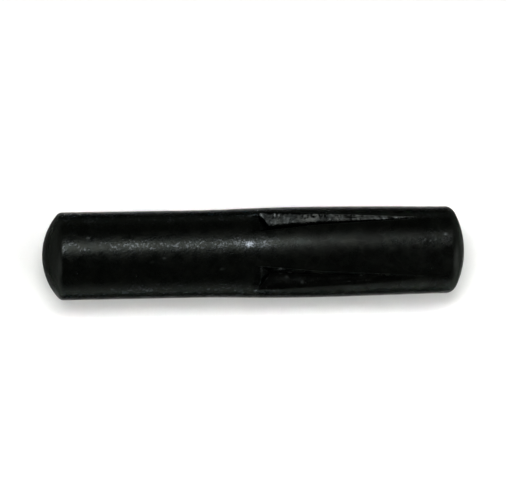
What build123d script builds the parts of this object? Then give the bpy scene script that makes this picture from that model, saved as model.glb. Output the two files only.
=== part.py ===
from build123d import *
from math import cos, radians, sin, sqrt, tan
import os

# Half-length reverse-taper grooved pin, one piece of drawn steel bar.
# X runs along the pin, from the plain half (-X) to the grooved half (+X).
# All sizes in millimetres.

# Bar
shank_d = 10.0            # plain half, the nominal diameter
length = 48.52            # over both domes
datum_in = 2.17           # the lengths along the pin below start this far inside the left tip

# Ends
left_dome_r = 7.25        # ball cap on the plain half
left_edge_r = 0.9         # rounding where that dome meets the shank
right_dome_r = 9.6        # flatter ball cap on the grooved half
right_edge_r = 1.15       # rounding at the grooved end

# Swell that the grooves raise, as distance from the datum and diameter
swell_start = 14.0
swell = (
    (18.6, 10.11),
    (22.6, 10.32),
    (27.4, 10.44),
    (32.0, 10.40),
    (37.0, 10.26),
    (41.0, 10.14),
)
swell_end = 43.0
end_d = 10.08             # short pilot beside the right edge

# Grooves: two opposed pairs of pressed V channels, widest and deepest near
# mid-length. Distances from the datum, radii from the pin's axis.
pair_angle = 84.0               # between the two grooves of a pair, round the axis
outer_wall_angle = 53.0         # wall away from the pair's middle, from the groove's middle plane
inner_wall_angle = 58.0         # wall towards the pair's middle
trough_at, trough_r = 21.3, 5.127       # the surface starts to dip here
trough_rim = 7.0                # outer rim of the dip, in degrees from the groove's middle
face_at, face_r = 22.35, 4.994          # end of the dip, top of the steep end face
valley_at, valley_r = 23.6, 3.916       # foot of the steep end face, the deepest point
bend_at, bend_r = 28.8, 4.46            # the valley rises more gently from here
runout_at, runout_r = 41.5, 5.07        # where the valley meets the surface again

shank_r = shank_d / 2
end_r = end_d / 2
x_left = -length / 2                       # tip of the left dome
x_tip = length / 2                         # tip of the right dome
datum = x_left + datum_in


def at(distance):
    """Distance from the datum, as X."""
    return datum + distance


# Half section of the blank: ball caps, plain shank, gentle swell, rounded edges.
left_centre = x_left + left_dome_r
left_rim = left_centre - sqrt(left_dome_r**2 - shank_r**2)
left_mid = (left_centre - left_dome_r * cos(radians(22)), left_dome_r * sin(radians(22)))
right_centre = x_tip - right_dome_r
right_rim = right_centre + sqrt(right_dome_r**2 - end_r**2)
right_mid = (right_centre + right_dome_r * cos(radians(14)), right_dome_r * sin(radians(14)))

with BuildPart() as blank:
    with BuildSketch(Plane.XZ) as half_section:
        with BuildLine() as outline:
            ThreePointArc((x_left, 0), left_mid, (left_rim, shank_r))
            Line((left_rim, shank_r), (at(swell_start), shank_r))
            Spline(
                (at(swell_start), shank_r),
                *((at(s), d / 2) for s, d in swell),
                (at(swell_end), end_r),
                tangents=((1, 0), (1, 0)),
            )
            Line((at(swell_end), end_r), (right_rim, end_r))
            ThreePointArc((right_rim, end_r), right_mid, (x_tip, 0))
            Line((x_tip, 0), (x_left, 0))
        make_face()
        corners = half_section.vertices().filter_by(lambda v: v.Y > 1).sort_by(Axis.X)
        fillet(corners[0], left_edge_r)
        corners = half_section.vertices().filter_by(lambda v: v.Y > 1).sort_by(Axis.X)
        fillet(corners[-1], right_edge_r)
    revolve(axis=Axis.X)

# One groove's cutter with its middle at +Z and its inner wall towards +Y: two V
# wedges, one for each slope of the valley, kept to the right of a turned face
# that falls steeply from above the surface to below the valley's foot.
wedge_at = 20.0                 # the wedges start left of the dip
wedge_l = 26.5
wedge_h = 3.0
cutter_r = 7.5                  # clear of the bar
outer_slope = tan(radians(outer_wall_angle))
inner_slope = tan(radians(inner_wall_angle))
deep_slope = (bend_r - valley_r) / (bend_at - valley_at)
long_slope = (runout_r - bend_r) / (runout_at - bend_at)
steep = (face_r - valley_r) / (valley_at - face_at)
foot_at = valley_at + 0.4
foot_r = face_r - steep * (foot_at - face_at)

with BuildPart() as groove_cutter:
    for slope in (deep_slope, long_slope):
        start = (at(wedge_at), 0, bend_r - slope * (bend_at - wedge_at))
        with BuildSketch(Plane(origin=start, x_dir=(0, 1, 0), z_dir=(1, 0, 0))):
            with BuildLine():
                Polyline(
                    (0, 0),
                    (wedge_h * inner_slope, wedge_h),
                    (-wedge_h * outer_slope, wedge_h),
                    close=True,
                )
            make_face()
        extrude(amount=wedge_l, dir=(1, 0, slope))
    with BuildPart(mode=Mode.INTERSECT):
        with BuildSketch(Plane.XZ):
            with BuildLine():
                Polyline(
                    (at(face_at - (cutter_r - face_r) / steep), cutter_r),
                    (at(foot_at), foot_r),
                    (at(48), foot_r),
                    (at(48), cutter_r),
                    close=True,
                )
            make_face()
        revolve(axis=Axis.X)

# The dip ahead of the groove: a shallow turned ramp that meets the steep face,
# between the groove's inner wall and a nearer outer wall.
ramp_slope = (trough_r - face_r) / (face_at - trough_at)
ramp_at = trough_at - 0.6
ramp_end = face_at + 0.5        # inside the groove's own cutter by then
dip_apex = trough_r * (cos(radians(trough_rim)) - sin(radians(trough_rim)) / outer_slope)
dip_start = (at(wedge_at), 0, bend_r - deep_slope * (bend_at - wedge_at))
dip_rise = dip_apex - (bend_r - deep_slope * (bend_at - face_at))

with BuildPart() as dip_cutter:
    with BuildSketch(Plane(origin=dip_start, x_dir=(0, 1, 0), z_dir=(1, 0, 0))):
        with BuildLine():
            Polyline(
                (0, 0),
                (wedge_h * inner_slope, wedge_h),
                (-(wedge_h - dip_rise) * outer_slope, wedge_h),
                (0, dip_rise),
                close=True,
            )
        make_face()
    extrude(amount=ramp_end + 1 - wedge_at, dir=(1, 0, deep_slope))
    with BuildPart(mode=Mode.INTERSECT):
        with BuildSketch(Plane.XZ):
            with BuildLine():
                Polyline(
                    (at(ramp_at), trough_r + ramp_slope * (trough_at - ramp_at)),
                    (at(ramp_end), face_r - ramp_slope * (ramp_end - face_at)),
                    (at(ramp_end), cutter_r),
                    (at(ramp_at), cutter_r),
                    close=True,
                )
            make_face()
        revolve(axis=Axis.X)

with BuildPart() as cutter:
    add(groove_cutter.part)
    add(dip_cutter.part)

with BuildPart() as mirrored_cutter:
    mirror(cutter.part, about=Plane.XZ)

with BuildPart() as grooved_pin:
    add(blank.part)
    for pair in (0, 180):
        add(cutter.part, rotation=(pair + pair_angle / 2, 0, 0), mode=Mode.SUBTRACT)
        add(mirrored_cutter.part, rotation=(pair - pair_angle / 2, 0, 0), mode=Mode.SUBTRACT)

grooved_pin.part.label = "grooved_pin"
os.makedirs("parts", exist_ok=True)
export_step(grooved_pin.part, "parts/grooved_pin.step")
print("volume", round(grooved_pin.part.volume, 1), "faces", len(grooved_pin.faces()))
print("box", grooved_pin.part.bounding_box())
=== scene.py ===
import math

import bpy
import numpy as np
from mathutils import Matrix, Vector


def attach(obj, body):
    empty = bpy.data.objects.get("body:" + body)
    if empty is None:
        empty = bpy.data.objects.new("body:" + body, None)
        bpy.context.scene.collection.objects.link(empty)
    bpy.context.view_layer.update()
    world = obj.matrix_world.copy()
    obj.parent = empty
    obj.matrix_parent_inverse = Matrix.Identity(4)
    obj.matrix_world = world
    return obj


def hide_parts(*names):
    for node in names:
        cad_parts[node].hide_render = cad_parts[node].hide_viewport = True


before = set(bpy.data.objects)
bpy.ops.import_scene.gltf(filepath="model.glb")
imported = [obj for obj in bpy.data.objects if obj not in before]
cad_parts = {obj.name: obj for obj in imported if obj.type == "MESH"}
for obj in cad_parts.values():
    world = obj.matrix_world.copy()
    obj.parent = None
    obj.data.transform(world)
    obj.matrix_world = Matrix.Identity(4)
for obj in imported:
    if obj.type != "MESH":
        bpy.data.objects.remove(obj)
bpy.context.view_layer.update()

# ---------------------------------------------------------------- dimensions
# Millimetres, as in the CAD part. s is the distance from the datum near the left edge.
X_LEFT, X_TIP = -24.26, 24.26
LEFT_DOME_R, RIGHT_DOME_R = 7.25, 9.6
LEFT_EDGE_R, RIGHT_EDGE_R = 0.9, 1.15
SHANK_R, END_R = 5.0, 5.04
X_EDGE = X_LEFT + 2.17
SWELL = [(14.0, 5.0), (18.6, 5.055), (22.6, 5.16), (27.4, 5.22), (32.0, 5.20),
         (37.0, 5.13), (41.0, 5.07), (43.0, 5.04)]
PAIR = 84.0                      # degrees between the two grooves of a pair
GROOVES = [90 - PAIR / 2, 90 + PAIR / 2, 270 - PAIR / 2, 270 + PAIR / 2]
OUT, IN = math.radians(53.0), math.radians(58.0)   # outer and inner wall, from the groove's middle
VALLEY = [(23.6, 3.916), (28.8, 4.46), (41.5, 5.07)]
TROUGH_AT, RAMP_AT, DROP = 21.3, 22.35, 0.16       # shallow dip before the steep end face


def clamped_spline(points):
    """Cubic spline through the points, level at both ends."""
    x = np.array([p[0] for p in points], float)
    y = np.array([p[1] for p in points], float)
    n = len(x)
    h = np.diff(x)
    a = np.zeros((n, n))
    b = np.zeros(n)
    a[0, 0] = a[-1, -1] = 1.0
    for i in range(1, n - 1):
        a[i, i - 1], a[i, i], a[i, i + 1] = 1 / h[i - 1], 2 / h[i - 1] + 2 / h[i], 1 / h[i]
        b[i] = 3 * ((y[i] - y[i - 1]) / h[i - 1] ** 2 + (y[i + 1] - y[i]) / h[i] ** 2)
    m = np.linalg.solve(a, b)

    def f(t):
        t = np.clip(np.asarray(t, float), x[0], x[-1])
        i = np.clip(np.searchsorted(x, t) - 1, 0, n - 2)
        u = (t - x[i]) / h[i]
        return ((1 + 2 * u) * (1 - u) ** 2 * y[i] + u * (1 - u) ** 2 * h[i] * m[i]
                + u * u * (3 - 2 * u) * y[i + 1] + u * u * (u - 1) * h[i] * m[i + 1])

    return f


swell = clamped_spline(SWELL)

# ---------------------------------------------------------------- noise


class Noise:
    """Smooth 3-D gradient noise in about -1..1, the same on every run."""

    def __init__(self, seed):
        r = np.random.RandomState(seed)
        self.p = r.permutation(512)
        g = r.normal(size=(512, 3))
        self.g = g / np.linalg.norm(g, axis=1, keepdims=True)

    def __call__(self, q):
        i = np.floor(q).astype(int)
        f = q - i
        w = f * f * f * (f * (f * 6 - 15) + 10)
        out = np.zeros(q.shape[:-1])
        for dx in (0, 1):
            for dy in (0, 1):
                for dz in (0, 1):
                    c = i + np.array([dx, dy, dz])
                    k = self.p[(c[..., 0]) % 512]
                    k = self.p[(k + c[..., 1]) % 512]
                    k = self.p[(k + c[..., 2]) % 512]
                    d = f - np.array([dx, dy, dz])
                    v = (self.g[k] * d).sum(-1)
                    wx = w[..., 0] if dx else 1 - w[..., 0]
                    wy = w[..., 1] if dy else 1 - w[..., 1]
                    wz = w[..., 2] if dz else 1 - w[..., 2]
                    out += v * wx * wy * wz
        return out * 1.6


def step(a, b, t):
    u = np.clip((t - a) / (b - a), 0, 1)
    return u * u * (3 - 2 * u)


# ---------------------------------------------------------------- profile rows
left_R = LEFT_DOME_R
lc = X_LEFT + left_R
lf = lc - math.sqrt((left_R - LEFT_EDGE_R) ** 2 - (SHANK_R - LEFT_EDGE_R) ** 2)
rc = X_TIP - RIGHT_DOME_R
rf = rc + math.sqrt((RIGHT_DOME_R - RIGHT_EDGE_R) ** 2 - (END_R - RIGHT_EDGE_R) ** 2)
l_ang = math.atan2(SHANK_R - LEFT_EDGE_R, lc - lf)      # where dome meets rounding
r_ang = math.atan2(END_R - RIGHT_EDGE_R, rf - rc)

rows = []                                   # x, radius, part of the profile
for t in np.linspace(0, 1, 31)[1:]:
    a = l_ang * t
    rows.append((lc - left_R * math.cos(a), left_R * math.sin(a)))
for a in np.linspace(l_ang, math.pi / 2, 11)[1:]:
    rows.append((lf - LEFT_EDGE_R * math.cos(a), SHANK_R - LEFT_EDGE_R + LEFT_EDGE_R * math.sin(a)))
stops = [(lf - X_EDGE, 20.7, 0.28), (20.7, 22.1, 0.12), (22.1, 24.6, 0.075), (24.6, 30.0, 0.105),
         (30.0, 41.5, 0.135), (41.5, rf - X_EDGE, 0.2)]
for s0, s1, gap in stops:
    n = max(1, round((s1 - s0) / gap))
    for s in np.linspace(s0, s1, n + 1)[1:]:
        rows.append((X_EDGE + s, float(SHANK_R if s < 14 else END_R if s > 43 else swell(s))))
for a in np.linspace(math.pi / 2, r_ang, 13)[1:]:
    rows.append((rf + RIGHT_EDGE_R * math.cos(a), END_R - RIGHT_EDGE_R + RIGHT_EDGE_R * math.sin(a)))
for t in np.linspace(1, 0, 27)[1:-1]:
    a = r_ang * t
    rows.append((rc + RIGHT_DOME_R * math.cos(a), RIGHT_DOME_R * math.sin(a)))
rows = np.array(rows)
X, R0 = rows[:, 0], rows[:, 1]
S = X - X_EDGE

# ---------------------------------------------------------------- columns
def valley(s):
    (s0, z0), (s1, z1), (s2, z2) = VALLEY
    a = z0 + (s - s0) * (z1 - z0) / (s1 - s0)
    b = z1 + (s - s1) * (z2 - z1) / (s2 - s1)
    return 0.5 * (a + b - np.sqrt((a - b) ** 2 + 0.02 ** 2))


def half_width(s, r, wall):
    """Angle from a groove's middle to its rim on that wall's side, in radians."""
    cot = 1 / math.tan(wall)
    c = np.clip(valley(s) / r / math.sqrt(1 + cot * cot), -1, 1)
    return np.arccos(c) - math.atan(cot)


body_r = np.where(S < 14, SHANK_R, np.where(S > 43, END_R, swell(S)))
at_s, at_r = np.clip(S, 22.9, 41), np.where(S < 22.9, 5.165, body_r)
wide = math.radians(10.0)
rim = {}
for side, angle in (("out", OUT), ("in", IN)):
    h = np.maximum(half_width(at_s, at_r, angle), math.radians(2.0))
    rim[side] = h + (wide - h) * step(42.2, 46.5, S)
NG, NL = 12, (42, 50)                       # quads over each wall, over each land
cols = []
for k, centre in enumerate(GROOVES):
    inner = 1 if k % 2 == 0 else -1         # the way to the pair's middle
    low, high = (rim["out"], rim["in"]) if inner > 0 else (rim["in"], rim["out"])
    c0 = math.radians(centre)
    c1 = math.radians(GROOVES[(k + 1) % 4] + (360 if k == 3 else 0))
    nxt = rim["in"] if inner > 0 else rim["out"]     # the next groove's rim that faces this one
    cols += [c0 + t * low for t in np.linspace(-1, 0, NG + 1)[:-1]]
    cols += [c0 + t * high for t in np.linspace(0, 1, NG + 1)[:-1]]
    cols += [c0 + high + t * (c1 - c0 - high - nxt) for t in np.linspace(0, 1, NL[k % 2] + 1)[:-1]]
PHI = np.stack(cols, 1)                     # rows x columns
NR, NC = PHI.shape

# ---------------------------------------------------------------- surface
XX = np.repeat(X[:, None], NC, 1)
SS = XX - X_EDGE
RR = np.repeat(R0[:, None], NC, 1)
BB = np.repeat(body_r[:, None], NC, 1)
Q = np.stack([XX, -RR * np.cos(PHI), RR * np.sin(PHI)], -1)
noise_a, noise_b, noise_c = Noise(3), Noise(11), Noise(29)
coarse = noise_c(Q * 0.9 + 5.3)
fine = noise_a(Q * 3.1)
lines = noise_b(Q * np.array([4.6, 0.9, 0.9]) + 2.1)
teeth = noise_a(Q * np.array([2.0, 0.3, 0.3]) + 7.4)

radius = RR.copy()
wall = np.zeros_like(RR)                    # 1 on the grooves' walls
torn = np.zeros_like(RR)                    # how rough the walls are: the grooves differ
shade = np.zeros_like(RR)                   # painted shade: 1 on the steep end faces; also in the dips, under the outer rims and along the front groove's inner rim, plus oxide gaps across one wall
lip = np.zeros_like(RR)
for k, centre in enumerate(GROOVES):
    tear = (0.35, 1.0, 0.5, 0.8)[k]
    inner = 1 if k % 2 == 0 else -1
    d = (PHI - math.radians(centre) + math.pi) % (2 * math.pi) - math.pi
    near = np.abs(d) < math.radians(34)
    inside = d * inner > 0
    cot = np.where(inside, 1 / math.tan(IN), 1 / math.tan(OUT))
    den = np.cos(d) - np.abs(np.sin(d)) * cot
    bottom = 0.04 * step(36.0, 24.0, SS) + 0.02             # how far the valley's rounding reaches up
    v = np.where(den > 0.05, valley(SS) / np.maximum(den, 0.05), 99.0)
    v = v + bottom * np.exp(-(np.abs(d) * 4.4 / (2.6 * bottom)) ** 1.5)
    h_in = np.repeat(rim["in"][:, None], NC, 1)
    h_out = np.repeat(rim["out"][:, None], NC, 1)
    # a shallow trough ahead of the groove, narrower than it on the outer side
    fade = step(math.radians(-9), math.radians(-5), d * inner)
    floor_r = BB - DROP * np.clip((SS - TROUGH_AT) / (RAMP_AT - TROUGH_AT), 0, 1) * fade
    c = 0.03
    u = np.clip(0.5 + 0.5 * (v - floor_r) / c, 0, 1)
    dip = np.minimum(BB, floor_r * (1 - u) + v * u + c * u * (1 - u) - 0.25 * c)
    # the groove itself: walls and valley, closed by a steep face
    top = float(swell(RAMP_AT)) - DROP
    steep = (top - VALLEY[0][1]) / (VALLEY[0][0] - RAMP_AT)
    face = top - steep * (SS - RAMP_AT)
    u = np.clip(0.5 + 0.5 * (v - face) / 0.03, 0, 1)
    cut = face * (1 - u) + v * u + 0.03 * u * (1 - u)
    # wall roughness: grains, pressed lines across the wall, coarser teeth towards the outer rim
    depth = BB - cut
    high = step(0.45, 0.80, -d * inner / h_out) * step(23.0, 23.8, SS) * step(38.0, 31.0, SS)
    cut = cut + tear * step(0.0, 0.10, depth) * (0.009 * fine + 0.010 * lines + 0.10 * high * teeth)
    # the outer rim is worn round at the deep end and sharper further on
    outer = step(0.35, 0.8, -d * inner / h_out)
    c = outer * step(22.8, 23.8, SS) * (1 + 0.4 * coarse)
    c = 0.03 + c * (0.38 * step(42.0, 36.0, SS) if k == 0 else 0.26 * step(29.0, 24.0, SS))
    u = np.clip(0.5 + 0.5 * (dip - cut) / c, 0, 1)
    soft = dip * (1 - u) + cut * u - c * u * (1 - u)
    chips = np.exp(-(((-d * inner - h_out) * 5.1 + 0.10) / 0.22) ** 2) * step(0.12, 0.6, noise_c(Q * 2.3 + 9.7))
    chips = chips * step(22.0, 22.8, SS) * step(39.0, 33.0, SS)
    soft = soft - 0.07 * chips
    ok = near & (SS > TROUGH_AT - 0.3) & (SS < 42.5)
    if k == 0:                                                     # painted shade: a darker line along its inner rim that dims the rim's highlight, broken here and there
        t = (d * inner - h_in) * 5.1
        painted_rim_shade = np.exp(-((t - 0.03) / 0.11) ** 2) * step(22.3, 22.9, SS) * step(-0.45, 0.05, noise_c(Q * 1.4 + 6.1))
        shade = np.where(ok, np.maximum(shade, 0.55 * painted_rim_shade), shade)
    radius = np.where(ok, np.minimum(radius, soft), radius)
    here = np.where(ok, step(0.02, 0.10, BB - soft) * step(22.0, 22.7, SS), 0)
    kept = np.where(inside, 0.1, 0.75) if k == 0 else np.where(inside, 0.3, 1.0)          # the front one keeps more of the oxide
    wall = np.maximum(wall, here * kept)
    torn = np.maximum(torn, here * tear)
    # painted shade on the steep end faces
    shade = np.maximum(shade, here * step(23.9, 23.3, SS) * (0.7 if k == 0 else 0.22))
    # painted shade under the outer rim, cut through in a few narrow streaks
    up_wall = -d * inner / h_out + 0.10 * fine
    under_rim_shade = step(0.42, 0.72, up_wall) * step(-0.10, 0.20, noise_c(Q * 1.5 + 3.3) + 1.2 * step(24.6, 23.8, SS)) * step(31.0, 26.0, SS)
    for s0 in (24.2, 24.75, 26.1):
        under_rim_shade = under_rim_shade * (1 - 0.9 * np.exp(-((SS - s0) / 0.11) ** 2))
    shade = np.maximum(shade, 0.62 * here * under_rim_shade * step(0.4, 0.9, tear))
    if k == 1:                                                     # oxide left across the wall, and the tail in dashes
        gaps = 0.8 * step(40.0, 40.8, SS)
        for s0, half, much in ((26.9, 0.16, 0.4), (29.9, 0.30, 0.55), (32.9, 0.42, 0.75), (35.1, 0.18, 0.45),
                               (37.5, 0.26, 0.75), (38.55, 0.16, 0.5), (39.3, 0.20, 0.7)):
            gaps = np.maximum(gaps, much * np.exp(-((SS - s0 + 0.35 * up_wall) / half) ** 2))
        shade = np.maximum(shade, here * gaps * (0.8 + 0.4 * noise_c(Q * 2.1 + 5.2)))
    # painted shade in the shallow dip ahead of each groove
    in_dip = np.clip(0.5 + 0.5 * (floor_r - v) / 0.03, 0, 1) * fade * step(21.3, 21.8, SS) * step(22.8, 22.2, SS)
    shade = np.where(ok, np.maximum(shade, (0.6 if k == 0 else 0.45) * in_dip), shade)
    if k == 0:                                                     # painted shade also beside the front one's dip, down to its outer rim
        beside = step(21.2, 21.9, SS) * step(22.9, 22.5, SS) * step(math.radians(-3), math.radians(-6), d * inner)
        beside = beside * step(-0.03, 0.04, d * inner + h_out)
        shade = np.where(near, np.maximum(shade, 0.6 * beside), shade)
    # metal raised beside the rims
    for edge, amount in ((-h_out, 0.010), (h_in, 0.002 if k == 0 else 0.010)):
        t = (d * inner - edge) * 5.1 * (1 if edge is h_in else -1)
        ridge = np.exp(-((t - 0.16) / 0.13) ** 2) * (t > 0) * (0.6 + 0.7 * noise_b(Q * 1.1 + 4.4))
        lip = np.maximum(lip, amount * ridge * step(22.2, 23.6, SS) * step(40.5, 36.0, SS))
radius = radius + lip

# bar surface: slight waviness and orange peel, coarser on the plain half
plain = step(25.0, 16.0, SS)
peel = noise_b(Q * 1.35)
inside_ends = step(-2.1, 0.3, SS) * step(46.3, 44.2, SS)
radius = radius - 0.004 * np.abs(noise_c(Q * 0.3)) * inside_ends
radius = radius - (0.0012 + 0.0022 * plain) * np.abs(peel) * inside_ends * (1 - wall)

radius = radius - 0.003 * step(19.0, 24.0, SS) * step(40.0, 34.0, SS)

P = np.stack([XX, -radius * np.cos(PHI), radius * np.sin(PHI)], -1)

# ---------------------------------------------------------------- marks
# worn bright metal on the crest of the swell: place, size along and round, strength
WORN = [(21.10, 95.7, 0.60, 0.42, 0.82), (22.6, 94.6, 1.1, 0.80, 0.25), (21.9, 141.4, 0.75, 0.14, 0.5),
        (22.6, 143.4, 0.25, 0.12, 0.4), (20.5, 96.5, 0.6, 0.4, 0.35),
        (24.9, 268.0, 1.6, 0.5, 0.5), (40.3, 5.0, 1.4, 0.6, 0.35), (15.8, 190.0, 1.0, 0.5, 0.4)]
# small bright specks: distance from the left edge, angle, radius, strength
SPECKS = [(24.55, 61.4, 0.17, 1.0), (24.9, 61.0, 0.10, 0.6), (25.7, 54.1, 0.13, 1.0), (24.7, 49.9, 0.14, 0.5),
          (25.4, 45.0, 0.16, 0.3), (27.15, 39.4, 0.13, 0.5), (23.05, 42.4, 0.12, 0.45), (33.8, 49.2, 0.10, 0.8),
          (26.4, 46.5, 0.34, 0.05), (26.7, 43.0, 0.30, 0.04), (3.05, 108.2, 0.12, 0.9), (10.15, 74.7, 0.12, 0.7),
          (11.5, 79.4, 0.11, 0.7), (18.0, 64.1, 0.13, 0.8), (41.1, 97.7, 0.08, 0.7),
          (41.7, 96.4, 0.08, 0.6), (40.8, 95.2, 0.07, 0.7), (42.3, 98.4, 0.07, 0.6), (43.5, 105.3, 0.12, 1.0),
          (22.55, 144.6, 0.20, 0.75), (21.5, 139.8, 0.16, 0.3), (24.2, 145.0, 0.13, 0.2), (24.75, 144.6, 0.12, 0.2),
          (35.35, 132.5, 0.12, 0.4), (36.05, 132.0, 0.16, 0.5), (36.70, 131.0, 0.20, 0.7), (38.1, 131.3, 0.17, 0.7),
          (38.9, 130.8, 0.13, 0.4), (39.6, 130.9, 0.12, 0.35)]
dice = np.random.RandomState(77)
for _ in range(46):                         # the same sort of specks on the sides the photograph hides
    s0, a0 = dice.uniform(1.0, 43.5), dice.uniform(160.0, 380.0)
    SPECKS.append((s0, a0, dice.uniform(0.08, 0.16), dice.uniform(0.3, 0.9)))


def round_gap(angle):
    return (PHI - math.radians(angle) + math.pi) % (2 * math.pi) - math.pi


worn = np.zeros_like(RR)
for s0, a0, ls, lr, k in WORN:
    g = round_gap(a0) * 5.1
    worn = np.maximum(worn, k * np.exp(-((SS - s0) / ls) ** 2 - (g / lr) ** 2))
speck = np.zeros_like(RR)
for s0, a0, r0, k in SPECKS:
    g = round_gap(a0) * 5.1
    speck = np.maximum(speck, k * np.exp(-(((SS - s0) / 1.15) ** 2 + g ** 2) / r0 ** 2))

# ---------------------------------------------------------------- mesh
tip_l = np.array([[X_LEFT, 0, 0]])
tip_r = np.array([[X_TIP, 0, 0]])
verts = np.concatenate([P.reshape(-1, 3), tip_l, tip_r]) / 1000.0
faces = []
for i in range(NR - 1):
    a, b = i * NC, (i + 1) * NC
    for j in range(NC):
        jn = (j + 1) % NC
        faces.append((a + j, b + j, b + jn, a + jn))
li, ri = NR * NC, NR * NC + 1
for j in range(NC):
    jn = (j + 1) % NC
    faces.append((li, j, jn))
    faces.append((ri, (NR - 1) * NC + jn, (NR - 1) * NC + j))
mesh = bpy.data.meshes.new("pin_surface")
mesh.from_pydata(verts.tolist(), [], faces)
mesh.validate()
mesh.update()
for poly in mesh.polygons:
    poly.use_smooth = True
for name, field in (("wall", wall), ("torn", torn), ("shade", shade), ("worn", worn), ("speck", speck)):
    attr = mesh.attributes.new(name, "FLOAT", "POINT")
    attr.data.foreach_set("value", np.concatenate([field.reshape(-1), [0, 0]]).astype(np.float32))
pin = bpy.data.objects.new("pin_surface", mesh)
bpy.context.scene.collection.objects.link(pin)
print("pin mesh", NR, "x", NC, "triangles", sum(len(f) - 2 for f in faces))

# ---------------------------------------------------------------- material
mat = bpy.data.materials.new("black_oxide_steel")
mat.use_nodes = True
nt = mat.node_tree
nt.nodes.clear()


def node(kind, **values):
    """A node with its settings and socket values; a value that is a socket is linked."""
    n = nt.nodes.new(kind)
    for key, value in values.items():
        if key.startswith("_"):
            setattr(n, key[1:], value)
            continue
        socket = n.inputs[int(key[1:])] if key[0] == "i" and key[1:].isdigit() else n.inputs[key.replace("_", " ")]
        if isinstance(value, bpy.types.NodeSocket):
            nt.links.new(value, socket)
        else:
            socket.default_value = value
    return n


def calc(op, a, b=None, c=None, clamp=False):
    n = node("ShaderNodeMath", _operation=op, _use_clamp=clamp, i0=a)
    for i, v in ((1, b), (2, c)):
        if isinstance(v, bpy.types.NodeSocket):
            nt.links.new(v, n.inputs[i])
        elif v is not None:
            n.inputs[i].default_value = v
    return n.outputs[0]


def ramp(value, lo, hi, out_lo=0.0, out_hi=1.0):
    n = node("ShaderNodeMapRange", _interpolation_type="SMOOTHSTEP", Value=value)
    n.inputs["From Min"].default_value, n.inputs["From Max"].default_value = lo, hi
    n.inputs["To Min"].default_value, n.inputs["To Max"].default_value = out_lo, out_hi
    return n.outputs["Result"]


def noise(scale, detail=2.0, rough=0.5, stretch=(1, 1, 1), offset=0.0):
    m = node("ShaderNodeMapping", Vector=coords)
    m.inputs["Scale"].default_value = [1000 * scale * k for k in stretch]      # per millimetre
    m.inputs["Location"].default_value = (offset, offset * 1.7, offset * 0.6)
    n = node("ShaderNodeTexNoise", Vector=m.outputs[0])
    n.inputs["Scale"].default_value = 1.0
    n.inputs["Detail"].default_value = detail
    n.inputs["Roughness"].default_value = rough
    return n.outputs["Fac"]


def mix_colour(fac, a, b):
    n = node("ShaderNodeMix", _data_type="RGBA")
    for socket, v in ((n.inputs["Factor"], fac), (n.inputs[6], a), (n.inputs[7], b)):
        if isinstance(v, bpy.types.NodeSocket):
            nt.links.new(v, socket)
        else:
            socket.default_value = v
    return n.outputs[2]


coords = node("ShaderNodeTexCoord").outputs["Object"]
place_x = node("ShaderNodeSeparateXYZ", Vector=coords).outputs[0]
wall_f = node("ShaderNodeAttribute", _attribute_name="wall").outputs["Fac"]
torn_f = node("ShaderNodeAttribute", _attribute_name="torn").outputs["Fac"]
shade_f = node("ShaderNodeAttribute", _attribute_name="shade").outputs["Fac"]
worn_f = node("ShaderNodeAttribute", _attribute_name="worn").outputs["Fac"]
speck_f = node("ShaderNodeAttribute", _attribute_name="speck").outputs["Fac"]
plain_f = ramp(place_x, 0.0070, -0.0010)                  # 1 on the plain half
tail_f = ramp(place_x, 0.0165, 0.0190)                    # the rougher last stretch of the grooved half
end_f = calc("MAXIMUM", ramp(place_x, -0.0218, -0.0224), ramp(place_x, 0.0219, 0.0227))     # the domes, even and matt
grainy_f = calc("MAXIMUM", plain_f, calc("MULTIPLY", tail_f, 0.6))
grainy_f = calc("SUBTRACT", grainy_f, calc("ADD", end_f, wall_f), clamp=True)

grain = noise(3.9, 1.2, 0.5, offset=3.1)
grain_fine = noise(7.5, 2.0, 0.6, offset=11.3)
cloud = noise(0.85, 3.0, 0.55, offset=7.7)
patch = noise(1.9, 3.0, 0.6, offset=23.1)
cluster = noise(0.75, 2.0, 0.6, offset=95.3)
rub = noise(5.5, 3.0, 0.65, offset=31.9)

# colour: near-black oxide with browner and greener fields, paler on the rough walls
tint = mix_colour(ramp(cloud, 0.35, 0.65), (0.0076, 0.0088, 0.0082, 1), (0.0094, 0.0102, 0.0090, 1))
tint = mix_colour(calc("MULTIPLY", ramp(patch, 0.5, 0.72), 0.35), tint, (0.0120, 0.0134, 0.0128, 1))
tint = mix_colour(calc("MULTIPLY", plain_f, 0.25), tint, (0.0036, 0.0040, 0.0037, 1))
tint = mix_colour(calc("MULTIPLY", wall_f, 0.85), tint, (0.0016, 0.0018, 0.0018, 1))
tint = mix_colour(calc("MULTIPLY", ramp(noise(0.62, 1.5, 0.5, offset=71.9), 0.42, 0.60), calc("SUBTRACT", 1.0, plain_f)), tint, (0.0070, 0.0075, 0.0070, 1))
# small bright crystals on the grainy stretches, in loose clusters; streaks on the walls
crystal = ramp(calc("ADD", noise(3.4, 1.0, 0.5, offset=51.7), calc("MULTIPLY", calc("SUBTRACT", cluster, 0.5), 0.70)), 0.57, 0.67)
tint = mix_colour(calc("MULTIPLY", crystal, grainy_f), tint, (0.0125, 0.0138, 0.0142, 1))
streak = noise(4.2, 1.0, 0.5, stretch=(1.0, 0.45, 0.45), offset=61.3)
tint = mix_colour(calc("MULTIPLY", ramp(streak, 0.53, 0.68), torn_f), tint, (0.0060, 0.0066, 0.0066, 1))
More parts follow.
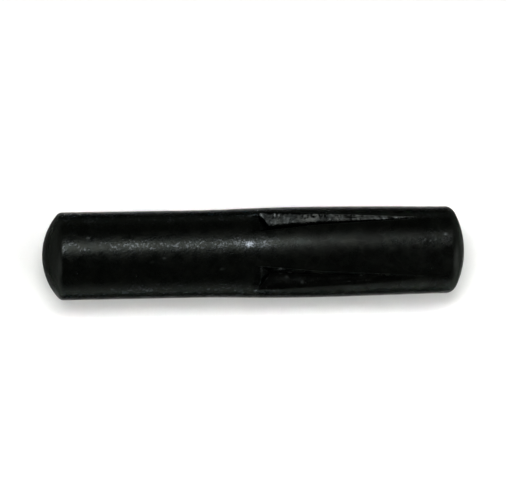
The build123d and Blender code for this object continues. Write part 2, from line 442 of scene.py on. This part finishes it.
# painted shade: near-black wherever the shade attribute is set; on the back groove's wall gaps it is oxide
tint = mix_colour(calc("MULTIPLY", shade_f, 0.9), tint, (0.0008, 0.0009, 0.0009, 1))
tint = mix_colour(calc("MULTIPLY", end_f, ramp(place_x, -0.01, 0.01, 0.40, 0.8)), tint, (0.0155, 0.0168, 0.0153, 1))
bright = calc("MULTIPLY", worn_f, ramp(calc("ADD", rub, calc("MULTIPLY", worn_f, 0.28)), 0.52, 0.74), clamp=True)
tint = mix_colour(calc("MULTIPLY", bright, 0.75), tint, (0.14, 0.155, 0.174, 1))
tint = mix_colour(calc("MULTIPLY", speck_f, 0.8, clamp=True), tint, (0.10, 0.11, 0.11, 1))

stain = noise(0.36, 2.0, 0.5, stretch=(0.7, 1.0, 1.0), offset=83.5)
edge_of = calc("ABSOLUTE", calc("SUBTRACT", stain, 0.5))
ring = calc("MULTIPLY", ramp(edge_of, 0.020, 0.0), calc("SUBTRACT", 1.0, plain_f))
tint = mix_colour(calc("MULTIPLY", ring, 0.3), tint, (0.0155, 0.0160, 0.0152, 1))

# gloss: oiled and smoother on the grooved half, rough on the pressed walls
gloss = calc("ADD", ramp(cloud, 0.32, 0.68, 0.26, 0.35), calc("MULTIPLY", end_f, 0.16))
gloss = calc("SUBTRACT", gloss, calc("MULTIPLY", wall_f, 0.08))
gloss = calc("ADD", gloss, ramp(stain, 0.44, 0.56, -0.022, 0.022))
gloss = calc("ADD", gloss, ramp(grain, 0.35, 0.65, -0.01, 0.015))
gloss = calc("SUBTRACT", gloss, calc("MULTIPLY", calc("MULTIPLY", crystal, grainy_f), 0.09))
gloss = calc("ADD", gloss, calc("MULTIPLY", ramp(cluster, 0.36, 0.60, 0.035, -0.015), grainy_f))
gloss = calc("SUBTRACT", gloss, calc("MULTIPLY", calc("MULTIPLY", ramp(streak, 0.50, 0.66), torn_f), 0.08), clamp=True)

# height in millimetres: grain, orange peel, pits
height = calc("MULTIPLY", grain, calc("MULTIPLY_ADD", grainy_f, 0.014, calc("MULTIPLY_ADD", torn_f, 0.017, 0.0018)))
height = calc("ADD", height, calc("MULTIPLY", grain_fine, calc("MULTIPLY_ADD", grainy_f, 0.004, calc("MULTIPLY_ADD", torn_f, 0.004, 0.0005))))
height = calc("ADD", height, calc("MULTIPLY", noise(0.85, 0.6, 0.5, offset=7.7), calc("MULTIPLY_ADD", plain_f, -0.006, 0.019)))
height = calc("SUBTRACT", height, calc("MULTIPLY", ramp(noise(2.6, 1.0, 0.5, offset=41.0), 0.70, 0.80), 0.006))
bump = node("ShaderNodeBump", Height=height)
bump.inputs["Strength"].default_value = 1.0
bump.inputs["Distance"].default_value = 0.001

out = nt.nodes.new("ShaderNodeOutputMaterial")
bsdf = node("ShaderNodeBsdfPrincipled", Base_Color=tint, Roughness=gloss, Normal=bump.outputs[0])
bsdf.inputs["Metallic"].default_value = 1.0
bsdf.inputs["Specular Tint"].default_value = (0.42, 0.42, 0.42, 1)
nt.links.new(bsdf.outputs[0], out.inputs[0])
mesh.materials.append(mat)

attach(pin, "root")
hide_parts("grooved_pin")

# ---------------------------------------------------------------- floor
floor_z = float(verts[:, 2].min())
fm = bpy.data.meshes.new("floor")
e = 1.5
fm.from_pydata([(-e, -e, floor_z), (e, -e, floor_z), (e, e, floor_z), (-e, e, floor_z)], [], [(0, 1, 2, 3)])
floor = bpy.data.objects.new("floor", fm)
bpy.context.scene.collection.objects.link(floor)
fmat = bpy.data.materials.new("pale_floor")
fmat.use_nodes = True
fb = fmat.node_tree.nodes["Principled BSDF"]
fb.inputs["Base Color"].default_value = (0.93, 0.93, 0.93, 1)
fb.inputs["Roughness"].default_value = 0.9
fb.inputs["Specular IOR Level"].default_value = 0.1
fm.materials.append(fmat)

# ---------------------------------------------------------------- camera
ELEV = math.radians(84.3)
cam_D, cam_xc, cam_f = 234.1, -1.12, 2048.0
yaw, pitch, roll = (math.radians(a) for a in (5.660, 0.377, 1.012))
along = Vector((1, 0, 0))
back = Vector((0, -math.cos(ELEV), math.sin(ELEV)))
up = Vector((0, math.sin(ELEV), math.cos(ELEV)))
ex = along * math.cos(yaw) + back * math.sin(yaw)
ez = -along * math.sin(yaw) + back * math.cos(yaw)
ey = up
y2 = ey * math.cos(pitch) + ez * math.sin(pitch)
z2 = -ey * math.sin(pitch) + ez * math.cos(pitch)
x3 = ex * math.cos(roll) - y2 * math.sin(roll)
y3 = ex * math.sin(roll) + y2 * math.cos(roll)
cam_data = bpy.data.cameras.new("camera")
cam = bpy.data.objects.new("camera", cam_data)
bpy.context.scene.collection.objects.link(cam)
cam_data.sensor_width = 36.0
cam_data.lens = 36.0 * cam_f / 508.0
cam_data.clip_start, cam_data.clip_end = 0.01, 10.0
place = along * ((X_EDGE + cam_xc) / 1000) + back * (cam_D / 1000)
cam.matrix_world = Matrix((
    (x3.x, y3.x, z2.x, place.x),
    (x3.y, y3.y, z2.y, place.y),
    (x3.z, y3.z, z2.z, place.z),
    (0, 0, 0, 1),
))
bpy.context.scene.camera = cam

# ---------------------------------------------------------------- light


def area(name, spot, aim, size, size_y, energy, turn=0.0):
    """A softbox at spot, facing aim, its first side turned by turn degrees from X. Metres and watts."""
    d = bpy.data.lights.new(name, "AREA")
    d.shape = "RECTANGLE"
    d.size, d.size_y, d.energy = size, size_y, energy
    o = bpy.data.objects.new(name, d)
    bpy.context.scene.collection.objects.link(o)
    z = (Vector(spot) - Vector(aim)).normalized()
    x = (along - z * along.dot(z)).normalized()
    y = z.cross(x)
    c, n = math.cos(math.radians(turn)), math.sin(math.radians(turn))
    x, y = x * c + y * n, y * c - x * n
    o.matrix_world = Matrix((
        (x.x, y.x, z.x, spot[0]),
        (x.y, y.y, z.y, spot[1]),
        (x.z, y.z, z.z, spot[2]),
        (0, 0, 0, 1),
    ))
    return o


KEY_TURN = 33
key_on = along * 0.03 + up * 0.165 + back * 0.30          # a point on the key's long middle line
key_z = (key_on - along * 0.005).normalized()
key_x = (along - key_z * along.dot(key_z)).normalized()
key_x = key_x * math.cos(math.radians(KEY_TURN)) + key_z.cross(key_x) * math.sin(math.radians(KEY_TURN))
key_at = key_on - key_x * 0.095
area("key", key_at, key_at - key_z, 0.20, 0.088, 0.84, KEY_TURN)
side_at = key_on + key_x * 0.080 + up * 0.020
area("key_side", side_at, side_at - key_z, 0.14, 0.07, 0.09, KEY_TURN)
area("front_left", Vector((-0.85, -0.42, 0.50)), Vector((0, 0, 0)), 1.0, 0.8, 4.4)
area("front_right", Vector((0.85, -0.42, 0.50)), Vector((0, 0, 0)), 1.0, 0.8, 6.3)
# straight down beside the pin, so that the floor stays pale close to it; none of it reaches the pin's top
for name, x, y, wide_x, wide_y, level in (("fill_front", 0.0, -0.0190, 0.14, 0.021, 1.35),
                                          ("fill_back", 0.0, 0.0155, 0.14, 0.019, 0.65),
                                          ("fill_left", -0.046, 0.0, 0.036, 0.030, 0.3),
                                          ("fill_right", 0.046, 0.0, 0.036, 0.030, 0.3)):
    fill = area(name, Vector((x, y, 0.32)), Vector((x, y, 0)), wide_x, wide_y, level * math.pi * wide_x * wide_y / 0.93)
    fill.data.spread = math.radians(2)
# low strips that shine up from the floor, out of the camera's sight, as a pale card laid there would
for name, x, y, wide_x, wide_y, level in (("low_front", 0.0, -0.0200, 0.26, 0.013, 2.62),
                                          ("low_far", 0.0, -0.040, 0.26, 0.022, 0.4),
                                          ("low_back", 0.0, 0.0120, 0.26, 0.008, 1.3),
                                          ("low_end", 0.041, -0.010, 0.016, 0.036, 3.4),
                                          ("low_left", -0.0285, -0.0100, 0.011, 0.010, 3.4),
                                          ("low_right", 0.0280, -0.0110, 0.010, 0.008, 3.6)):
    strip = area(name, Vector((x, y, floor_z + 0.0005)), Vector((x, y, 1)), wide_x, wide_y, level * math.pi * wide_x * wide_y)
    strip.visible_camera = False

# a dim room, paler towards the horizon
world = bpy.data.worlds.new("studio")
bpy.context.scene.world = world
world.use_nodes = True
wt = world.node_tree
sky = wt.nodes["Background"]
sky.inputs[0].default_value = (0.90, 1.0, 0.82, 1)
way = wt.nodes.new("ShaderNodeTexCoord")
part = wt.nodes.new("ShaderNodeSeparateXYZ")
level = wt.nodes.new("ShaderNodeMapRange")
level.interpolation_type = "SMOOTHSTEP"
for name, value in (("From Min", 0.0), ("From Max", 0.9), ("To Min", 0.20), ("To Max", 0.16)):
    level.inputs[name].default_value = value
wt.links.new(way.outputs["Generated"], part.inputs[0])
wt.links.new(part.outputs[2], level.inputs["Value"])
wt.links.new(level.outputs[0], sky.inputs[1])

bpy.context.scene.view_settings.view_transform = "Standard"

# ---------------------------------------------------------------- update
bpy.context.view_layer.update()
